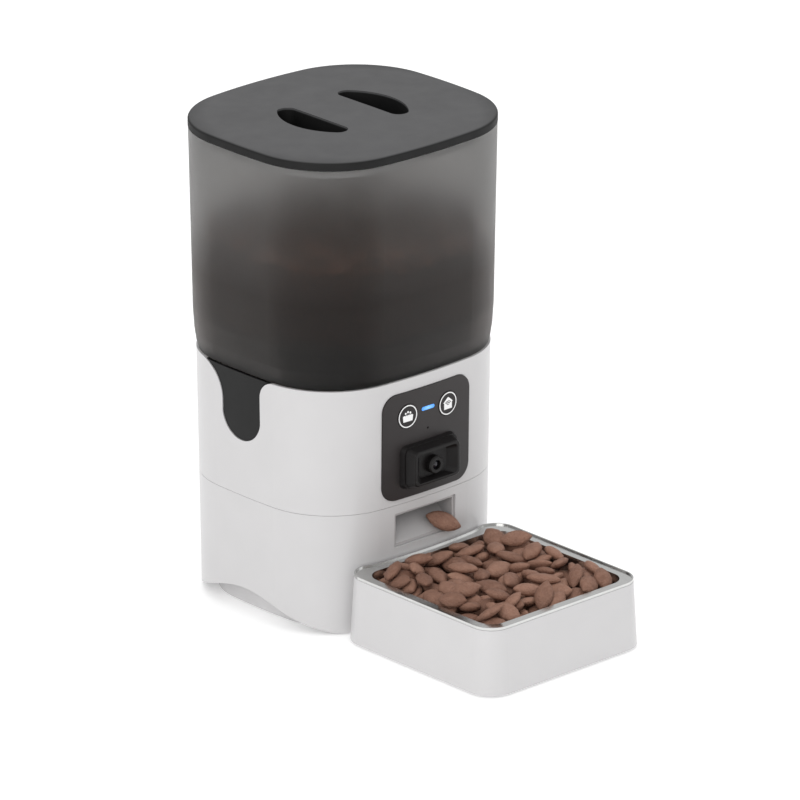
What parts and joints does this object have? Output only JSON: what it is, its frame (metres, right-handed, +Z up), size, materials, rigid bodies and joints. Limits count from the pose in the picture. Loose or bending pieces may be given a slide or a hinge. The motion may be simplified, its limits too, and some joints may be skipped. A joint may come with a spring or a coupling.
{
  "type": "automatic pet feeder",
  "caption": "Tall rounded automatic pet feeder: smoky food tank with grip lid on a white motor base with camera panel and chute, and a square steel bowl in a white tray.",
  "frame": {"origin": "centre of the whole footprint on the floor, under the base and the bowl tray", "axes": "+Z up, -Y towards the bowl (front), +X to the right seen from the front"},
  "size_m": [0.19, 0.3071, 0.335],
  "materials": {
    "lid_plastic": "fine matt texture",
    "tank_plastic": "smoke tinted, frosted",
    "dark_plastic": "satin",
    "seal_rubber": "soft silicone",
    "white_plastic": "polished white",
    "panel_plastic": "smooth dark grey",
    "button_plastic": "satin with a printed white ring",
    "blue_lamp": "translucent blue, lit",
    "lens_glass": "polished",
    "grey_plastic": "moulded",
    "board_green": "solder mask",
    "screw_steel": "zinc plated",
    "motor_steel": "drawn can",
    "bush_brass": "sintered",
    "gear_nylon": "natural nylon",
    "foot_rubber": "soft",
    "bowl_steel": "polished stainless",
    "cell_wrap": "printed sleeve",
    "paper_sachet": "soft paper"
  },
  "bodies": {
    "base": {"upper_housing": "white_plastic", "lower_housing": "white_plastic", "bottom_pan": "white_plastic", "rubber_feet": "foot_rubber", "pan_screws": "screw_steel", "battery_box": "grey_plastic", "battery_cells": "cell_wrap", "battery_cover": "white_plastic", "battery_screw": "screw_steel", "food_chute": "white_plastic", "food_sensors": "dark_plastic", "control_panel": "panel_plastic", "light_pipe": "blue_lamp", "button_board": "board_green", "tact_switches": "dark_plastic", "microphone": "motor_steel", "panel_screws": "screw_steel", "camera_mount": "dark_plastic", "camera_shroud": "dark_plastic", "lens_barrel": "dark_plastic", "lens_glass": "lens_glass", "camera_board": "board_green", "gearbox_case": "grey_plastic", "gearbox_cover": "grey_plastic", "shaft_bushes": "bush_brass", "gearbox_screws": "screw_steel", "motor": "motor_steel", "main_board": "board_green", "board_screws": "screw_steel", "power_inlet": "dark_plastic", "speaker": "dark_plastic"},
    "lid": {"lid": "lid_plastic", "lid_seal": "seal_rubber", "desiccant_case": "dark_plastic", "desiccant_cap": "dark_plastic", "desiccant_bag": "paper_sachet"},
    "tank": {"food_tank": "tank_plastic", "hopper_funnel": "dark_plastic", "port_guard": "seal_rubber", "latch_pins": "screw_steel"},
    "latch_left": {"tank_latch_left": "dark_plastic"},
    "latch_right": {"tank_latch_right": "dark_plastic"},
    "wheel": {"dispensing_wheel": "grey_plastic", "stirrer": "grey_plastic"},
    "drive": {"output_gear": "gear_nylon", "output_shaft": "motor_steel"},
    "pinion": {"motor_pinion": "bush_brass"},
    "feed_button": {"feed_button": "button_plastic"},
    "settings_button": {"settings_button": "button_plastic"},
    "tray": {"bowl_tray": "white_plastic", "tray_feet": "foot_rubber"},
    "bowl": {"food_bowl": "bowl_steel"}
  },
  "joints": [
    {"name": "tank_lift", "type": "slide", "parent": "base", "child": "tank", "axis": [0, 0, 1], "range_m": [0, 0.06]},
    {"name": "lid_lift", "type": "slide", "parent": "tank", "child": "lid", "axis": [0, 0, 1], "range_m": [0, 0.05]},
    {"name": "latch_left_press", "type": "hinge", "parent": "tank", "child": "latch_left", "pos_m": [-0.0859, 0.06825, 0.1665], "axis": [0, -1, 0], "range_deg": [0, 4], "stiffness_Nm_per_rad": 0.6},
    {"name": "latch_right_press", "type": "hinge", "parent": "tank", "child": "latch_right", "pos_m": [0.0859, 0.06825, 0.1665], "axis": [0, 1, 0], "range_deg": [0, 4], "stiffness_Nm_per_rad": 0.6},
    {"name": "drive_turn", "type": "hinge", "parent": "base", "child": "drive", "pos_m": [0, 0.06675, 0.12], "axis": [0, 0, 1], "continuous": true},
    {"name": "wheel_turn", "type": "hinge", "parent": "tank", "child": "wheel", "pos_m": [0, 0.06675, 0.15], "axis": [0, 0, 1], "continuous": true},
    {"name": "pinion_turn", "type": "hinge", "parent": "base", "child": "pinion", "pos_m": [0, 0.09075, 0.12], "axis": [0, 0, 1], "continuous": true},
    {"name": "feed_press", "type": "slide", "parent": "base", "child": "feed_button", "axis": [0, 1, 0], "range_m": [0, 0.001], "stiffness_N_per_m": 600},
    {"name": "settings_press", "type": "slide", "parent": "base", "child": "settings_button", "axis": [0, 1, 0], "range_m": [0, 0.001], "stiffness_N_per_m": 600},
    {"name": "tray_pull", "type": "slide", "parent": "base", "child": "tray", "axis": [0, -1, 0], "range_m": [0, 0.05]},
    {"name": "bowl_lift", "type": "slide", "parent": "tray", "child": "bowl", "axis": [0, 0, 1], "range_m": [0, 0.036]}
  ],
  "couplings": [
    {"joint": "wheel_turn", "follows": "drive_turn", "ratio": 1},
    {"joint": "pinion_turn", "follows": "drive_turn", "ratio": -3}
  ]
}
